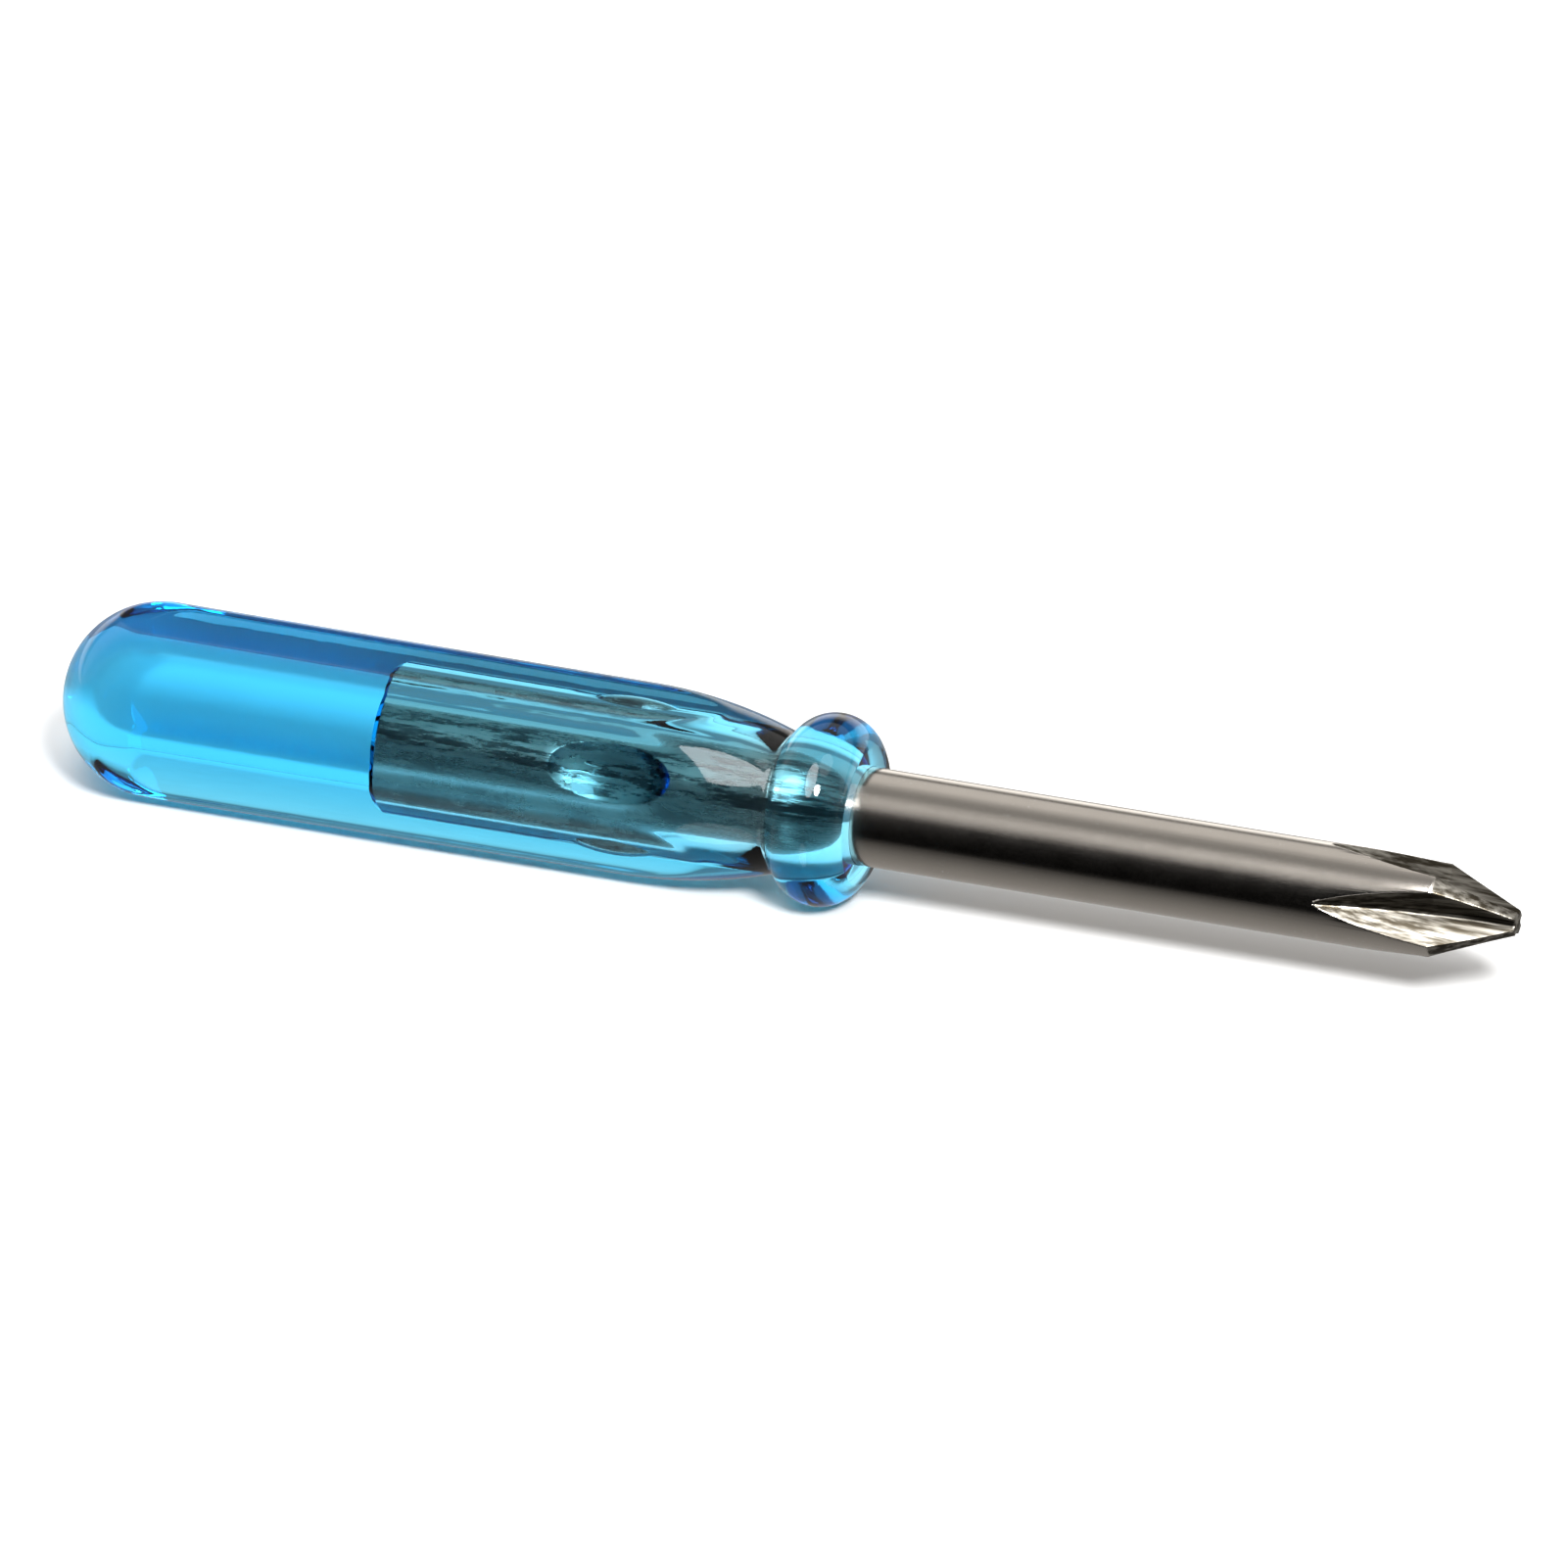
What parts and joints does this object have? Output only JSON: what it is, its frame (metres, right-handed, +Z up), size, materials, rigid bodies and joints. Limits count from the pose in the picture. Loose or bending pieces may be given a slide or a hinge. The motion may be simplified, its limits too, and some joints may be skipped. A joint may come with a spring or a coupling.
{
  "type": "miniature screwdriver",
  "caption": "Miniature cross-point screwdriver: a round steel blade moulded into a clear blue hexagonal handle with a round collar.",
  "frame": {"origin": "on the tool's axis, in the flat front face of the collar, where the blade leaves the handle", "axes": "+X along the axis towards the point; +Z up, with the tool lying on its side and one grip flat facing straight down"},
  "size_m": [0.045, 0.0058, 0.0056],
  "materials": {
    "handle_plastic": "gloss",
    "blade_steel": "satin"
  },
  "bodies": {
    "root": {"handle": "handle_plastic", "blade": "blade_steel"}
  },
  "joints": []
}
